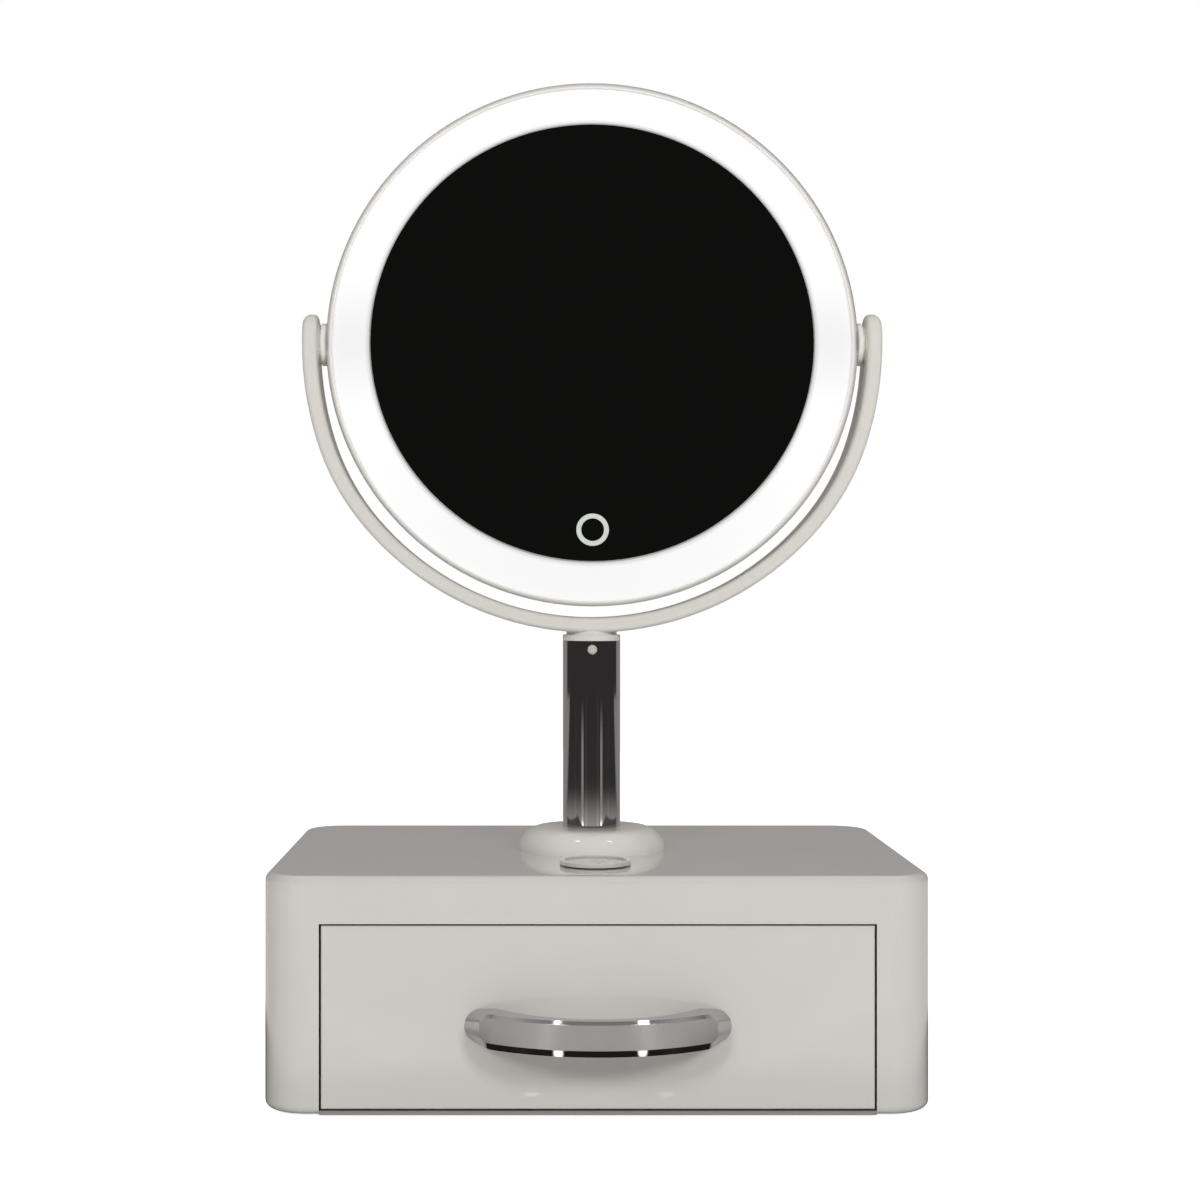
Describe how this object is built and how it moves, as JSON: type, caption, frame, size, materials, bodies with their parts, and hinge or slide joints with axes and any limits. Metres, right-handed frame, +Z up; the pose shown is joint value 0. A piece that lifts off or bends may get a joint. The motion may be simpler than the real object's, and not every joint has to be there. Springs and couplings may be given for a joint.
{
  "type": "vanity mirror with drawer",
  "caption": "Round lit make-up mirror that tilts in a half-round fork on a chrome post, standing on a rounded case with a wide drawer and a bow handle.",
  "frame": {"origin": "centre of the case's underside, on the surface it stands on", "axes": "+Z up along the post, -Y towards the user (the drawer opens along -Y), X along the mirror's tilt axis"},
  "size_m": [0.2552, 0.198, 0.4123],
  "materials": {
    "lacquer": "off-white high-gloss lacquer on board",
    "hardboard": "lacquered hardboard",
    "board": "off-white lacquered board",
    "felt": "dark felt",
    "steel": "zinc-plated",
    "chrome": "bright chrome",
    "white_plastic": "off-white gloss",
    "nylon": "natural",
    "brass": "turned",
    "mirror": "silvered glass",
    "opal": "opal light diffuser",
    "touch_mark": "pale translucent",
    "circuit_board": "white solder resist",
    "lamp": "surface-mounted lamps",
    "cell": "battery cells with plain sleeves",
    "contact": "nickel-plated"
  },
  "bodies": {
    "stand": {"cabinet_case": "lacquer", "bottom_panel": "hardboard", "panel_screws": "steel", "base_felt": "felt", "drawer_runner_left": "board", "drawer_runner_right": "board", "runner_screws": "steel", "drawer_stop": "board", "post_collar": "white_plastic", "post_tube": "chrome", "post_plug": "steel", "post_bolt": "steel", "bolt_washer": "steel", "badge_disc": "chrome", "yoke": "white_plastic", "friction_washer_left": "nylon", "friction_washer_right": "nylon", "pivot_cap_left": "white_plastic", "pivot_cap_right": "white_plastic", "button_spring": "steel"},
    "drawer": {"drawer_front": "lacquer", "drawer_side_left": "board", "drawer_side_right": "board", "drawer_back": "board", "drawer_bottom": "hardboard", "drawer_lining": "felt", "handle": "chrome", "handle_screws": "steel"},
    "head": {"head_rim": "white_plastic", "mirror_glass": "mirror", "touch_ring": "touch_mark", "touch_sensor": "circuit_board", "diffuser_ring": "opal", "glass_carrier": "nylon", "led_board": "circuit_board", "led_chips": "lamp", "control_board": "circuit_board", "rear_cover": "white_plastic", "rear_screws": "steel", "battery_cells": "cell", "battery_contacts": "contact", "pivot_screw_left": "steel", "pivot_screw_right": "steel", "pivot_insert_left": "brass", "pivot_insert_right": "brass"},
    "battery_door": {"battery_door": "white_plastic"},
    "lock_button": {"lock_button": "white_plastic"}
  },
  "joints": [
    {"name": "drawer_slide", "type": "slide", "parent": "stand", "child": "drawer", "axis": [0, -1, 0], "range_m": [0, 0.1138]},
    {"name": "head_tilt", "type": "hinge", "parent": "stand", "child": "head", "pos_m": [0, 0, 0.3017], "axis": [1, 0, 0], "continuous": true},
    {"name": "battery_door_off", "type": "slide", "parent": "head", "child": "battery_door", "axis": [0, 0.9954, -0.0958], "range_m": [0, 0.03]},
    {"name": "lock_button_press", "type": "slide", "parent": "stand", "child": "lock_button", "axis": [0, 1, 0], "range_m": [0, 0.0026], "stiffness_N_per_m": 500, "springref_m": -0.004, "deforming": ["button_spring"]}
  ]
}
